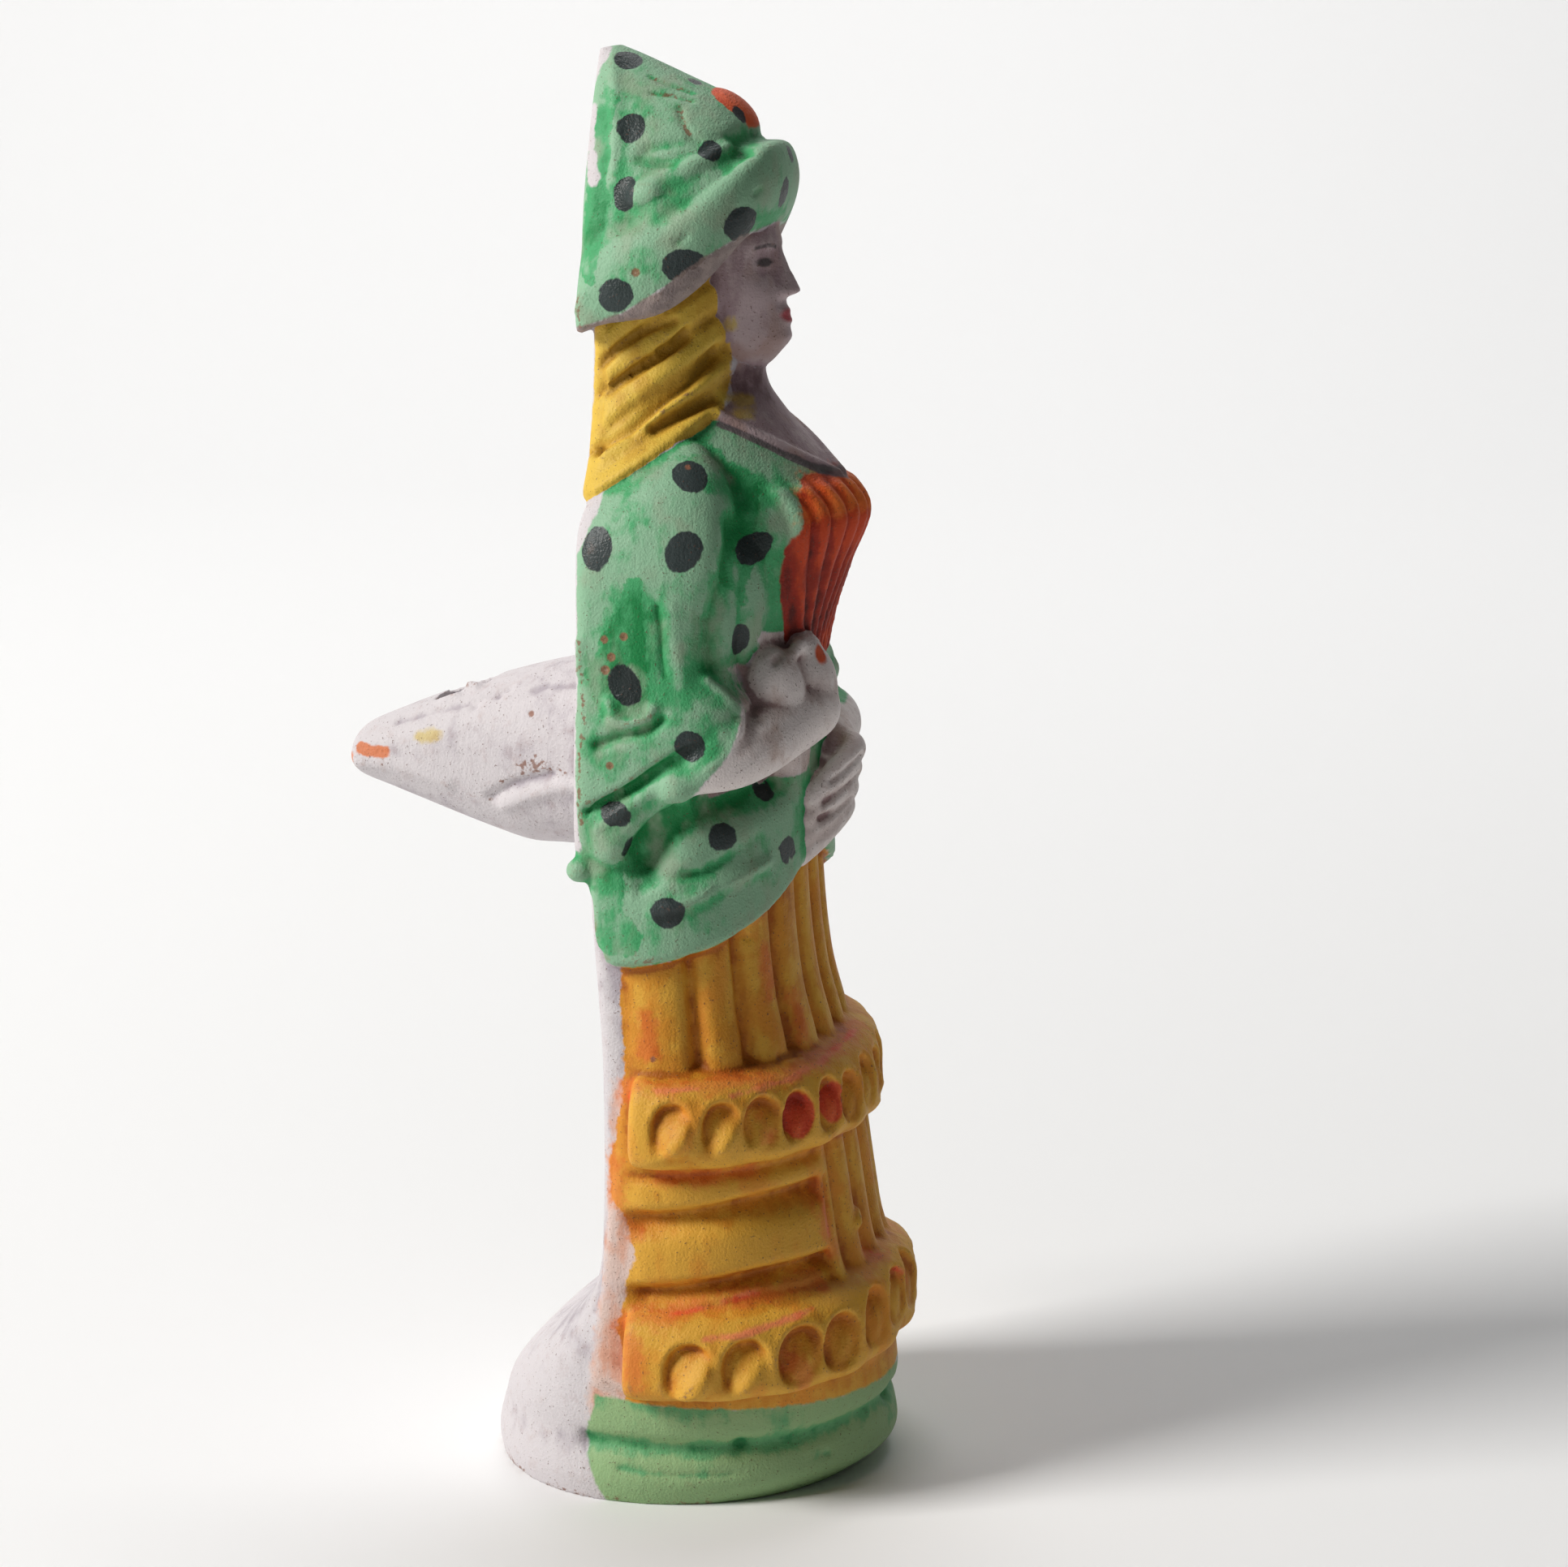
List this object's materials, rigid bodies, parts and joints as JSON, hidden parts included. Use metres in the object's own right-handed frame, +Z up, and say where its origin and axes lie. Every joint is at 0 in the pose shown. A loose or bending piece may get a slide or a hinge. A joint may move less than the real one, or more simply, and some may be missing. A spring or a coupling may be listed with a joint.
{
  "type": "ceramic figurine whistle",
  "caption": "Standing woman in a pointed hat and frilled skirt, pressed in clay and painted, with a beak-shaped whistle on her back.",
  "frame": {"origin": "on the flat underside, on the figure's middle plane", "axes": "+Z up through the figure, -Y the way the figure faces, +Y along the whistle, +X her left"},
  "size_m": [0.067, 0.0805, 0.1998],
  "materials": {
    "painted_clay": "hand-painted fired clay, matt to slightly waxy, in green, ochre, orange and white"
  },
  "bodies": {
    "root": {"figurine": "painted_clay"}
  },
  "joints": []
}
